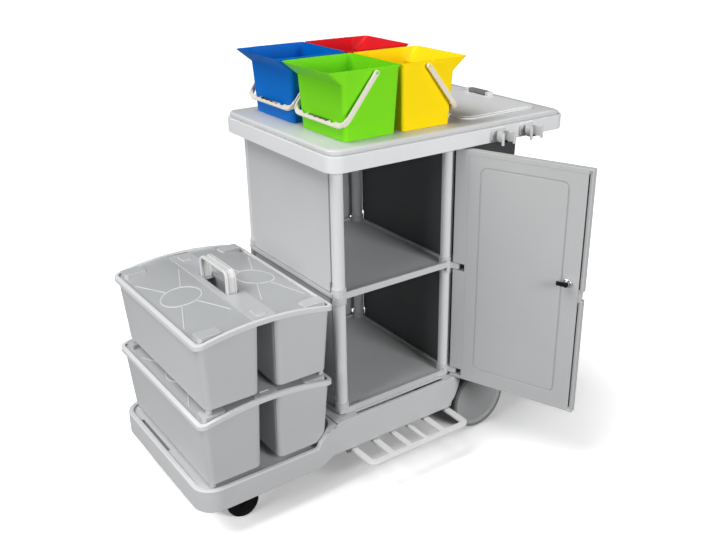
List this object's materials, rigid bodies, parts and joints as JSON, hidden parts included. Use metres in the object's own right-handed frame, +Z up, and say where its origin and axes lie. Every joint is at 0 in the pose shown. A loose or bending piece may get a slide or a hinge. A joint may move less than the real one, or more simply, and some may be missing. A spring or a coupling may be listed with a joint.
{
  "type": "janitor cart",
  "caption": "Cleaning cart on castors and rear wheels with a two-door cabinet, stacked lidded caddies, colour-coded pails with bails, a lidded waste bag bay, tool clips and a slide-out rack",
  "frame": {"origin": "on the floor at the middle of the bounding box of the rest pose, with the near door open and the rack out", "axes": "+X along the cart from the caddies to the waste bag, +Y across it from the open door to the shut one, +Z up"},
  "size_m": [1.225, 0.9046, 1.1693],
  "materials": {
    "body_plastic": "satin moulded grey",
    "caddy_plastic": "satin moulded grey",
    "top_plastic": "satin moulded light grey",
    "post_plastic": "satin tube",
    "dark_panel": "matt dark sheet",
    "bag_fabric": "woven dark grey cloth",
    "dark_plastic": "matt dark grey",
    "clip_plastic": "light moulded",
    "steel": "bright drawn steel",
    "lock_chrome": "polished",
    "lock_cam": "black",
    "rack_plastic": "off-white moulded",
    "runner_plastic": "grey moulded",
    "wheel_plastic": "mid grey moulded",
    "tyre_rubber": "grey non-marking rubber",
    "castor_frame": "black",
    "castor_rubber": "black",
    "lid_plastic": "frosted clear",
    "handle_plastic": "white moulded",
    "blue_plastic": "bright blue",
    "green_plastic": "bright green",
    "red_plastic": "bright red",
    "yellow_plastic": "bright yellow",
    "bail_plastic": "beige white"
  },
  "bodies": {
    "frame": {"chassis": "body_plastic", "lower_shelf": "body_plastic", "mid_shelf": "body_plastic", "lower_posts": "post_plastic", "upper_posts": "post_plastic", "lower_left_panel": "body_plastic", "upper_left_panel": "body_plastic", "lower_partition": "dark_panel", "upper_partition": "dark_panel", "top_frame": "top_plastic", "top_deck": "top_plastic", "handle_clips": "clip_plastic", "clip_screws": "steel", "bag_ring": "dark_plastic", "waste_bag": "bag_fabric", "lid_hinge_pins": "steel", "rack_runners": "runner_plastic", "rear_axle": "steel", "castor_plates": "steel"},
    "bag_lid": {"bag_lid": "top_plastic", "lid_grip": "dark_plastic"},
    "rack": {"tool_rack": "rack_plastic"},
    "lower_caddy": {"lower_caddy": "caddy_plastic", "lower_caddy_handle": "handle_plastic"},
    "lower_lid": {"lower_caddy_lid": "lid_plastic"},
    "upper_caddy": {"upper_caddy": "caddy_plastic", "upper_caddy_handle": "handle_plastic"},
    "upper_lid": {"upper_caddy_lid": "lid_plastic"},
    "near_wheel": {"near_rear_wheel": "wheel_plastic", "near_rear_tyre": "tyre_rubber"},
    "near_castor": {"near_castor_fork": "castor_frame", "near_castor_bolt": "castor_frame"},
    "near_roller": {"near_castor_wheel": "castor_rubber"},
    "near_door": {"near_door": "body_plastic", "near_door_liner": "body_plastic", "near_hinge_pins": "steel", "near_lock_barrel": "lock_chrome"},
    "near_lock": {"near_lock_cam": "lock_cam"},
    "far_wheel": {"far_rear_wheel": "wheel_plastic", "far_rear_tyre": "tyre_rubber"},
    "far_castor": {"far_castor_fork": "castor_frame", "far_castor_bolt": "castor_frame"},
    "far_roller": {"far_castor_wheel": "castor_rubber"},
    "far_door": {"far_door": "body_plastic", "far_door_liner": "body_plastic", "far_hinge_pins": "steel", "far_lock_barrel": "lock_chrome"},
    "far_lock": {"far_lock_cam": "lock_cam"},
    "blue_bucket": {"blue_bucket": "blue_plastic"},
    "blue_bail": {"blue_bail": "bail_plastic"},
    "green_bucket": {"green_bucket": "green_plastic"},
    "green_bail": {"green_bail": "bail_plastic"},
    "red_bucket": {"red_bucket": "red_plastic"},
    "red_bail": {"red_bail": "bail_plastic"},
    "yellow_bucket": {"yellow_bucket": "yellow_plastic"},
    "yellow_bail": {"yellow_bail": "bail_plastic"}
  },
  "joints": [
    {"name": "near_door_hinge", "type": "hinge", "parent": "frame", "child": "near_door", "pos_m": [0.2275, -0.09268, 0.221], "axis": [0, 0, 1], "range_deg": [-111, 63]},
    {"name": "far_door_hinge", "type": "hinge", "parent": "frame", "child": "far_door", "pos_m": [0.2275, 0.42732, 0.221], "axis": [0, 0, -1], "range_deg": [0, 174]},
    {"name": "near_lock_turn", "type": "hinge", "parent": "near_door", "child": "near_lock", "pos_m": [0.33836, -0.41217, 0.612], "axis": [0.9336, 0.3584, 0], "range_deg": [0, 90]},
    {"name": "far_lock_turn", "type": "hinge", "parent": "far_door", "child": "far_lock", "pos_m": [-0.1105, 0.41632, 0.612], "axis": [0, -1, 0], "range_deg": [0, 90]},
    {"name": "bag_lid_hinge", "type": "hinge", "parent": "frame", "child": "bag_lid", "pos_m": [0.2555, 0.16732, 0.9995], "axis": [0, -1, 0], "range_deg": [0, 75]},
    {"name": "near_castor_swivel", "type": "hinge", "parent": "frame", "child": "near_castor", "pos_m": [-0.4925, -0.03368, 0.09], "axis": [0, 0, 1], "continuous": true},
    {"name": "near_castor_roll", "type": "hinge", "parent": "near_castor", "child": "near_roller", "pos_m": [-0.4705, -0.03368, 0.045], "axis": [0, 1, 0], "continuous": true},
    {"name": "near_wheel_roll", "type": "hinge", "parent": "frame", "child": "near_wheel", "pos_m": [0.3335, -0.07768, 0.1], "axis": [0, 1, 0], "continuous": true},
    {"name": "far_castor_swivel", "type": "hinge", "parent": "frame", "child": "far_castor", "pos_m": [-0.4925, 0.36832, 0.09], "axis": [0, 0, 1], "continuous": true},
    {"name": "far_castor_roll", "type": "hinge", "parent": "far_castor", "child": "far_roller", "pos_m": [-0.4705, 0.36832, 0.045], "axis": [0, 1, 0], "continuous": true},
    {"name": "far_wheel_roll", "type": "hinge", "parent": "frame", "child": "far_wheel", "pos_m": [0.3335, 0.41232, 0.1], "axis": [0, 1, 0], "continuous": true},
    {"name": "rack_slide", "type": "slide", "parent": "frame", "child": "rack", "axis": [0, 1, 0], "range_m": [0, 0.094]},
    {"name": "lower_caddy_lift", "type": "slide", "parent": "frame", "child": "lower_caddy", "axis": [0, 0, 1], "range_m": [0, 0.25]},
    {"name": "lower_lid_lift", "type": "slide", "parent": "lower_caddy", "child": "lower_lid", "axis": [0, 0, 1], "range_m": [0, 0.12]},
    {"name": "upper_caddy_lift", "type": "slide", "parent": "lower_lid", "child": "upper_caddy", "axis": [0, 0, 1], "range_m": [0, 0.25]},
    {"name": "upper_lid_lift", "type": "slide", "parent": "upper_caddy", "child": "upper_lid", "axis": [0, 0, 1], "range_m": [0, 0.12]},
    {"name": "blue_bucket_lift", "type": "slide", "parent": "frame", "child": "blue_bucket", "axis": [0, 0, 1], "range_m": [0, 0.25]},
    {"name": "blue_bail_pivot", "type": "hinge", "parent": "blue_bucket", "child": "blue_bail", "pos_m": [-0.043, 0.29182, 1.1573], "axis": [0, 1, 0], "range_deg": [0, 141]},
    {"name": "green_bucket_lift", "type": "slide", "parent": "frame", "child": "green_bucket", "axis": [0, 0, 1], "range_m": [0, 0.25]},
    {"name": "green_bail_pivot", "type": "hinge", "parent": "green_bucket", "child": "green_bail", "pos_m": [-0.043, 0.04282, 1.1573], "axis": [0, 1, 0], "range_deg": [0, 141]},
    {"name": "red_bucket_lift", "type": "slide", "parent": "frame", "child": "red_bucket", "axis": [0, 0, 1], "range_m": [0, 0.25]},
    {"name": "red_bail_pivot", "type": "hinge", "parent": "red_bucket", "child": "red_bail", "pos_m": [0.124, 0.29182, 1.1573], "axis": [0, -1, 0], "range_deg": [0, 141]},
    {"name": "yellow_bucket_lift", "type": "slide", "parent": "frame", "child": "yellow_bucket", "axis": [0, 0, 1], "range_m": [0, 0.25]},
    {"name": "yellow_bail_pivot", "type": "hinge", "parent": "yellow_bucket", "child": "yellow_bail", "pos_m": [0.124, 0.04282, 1.1573], "axis": [0, -1, 0], "range_deg": [0, 141]}
  ]
}
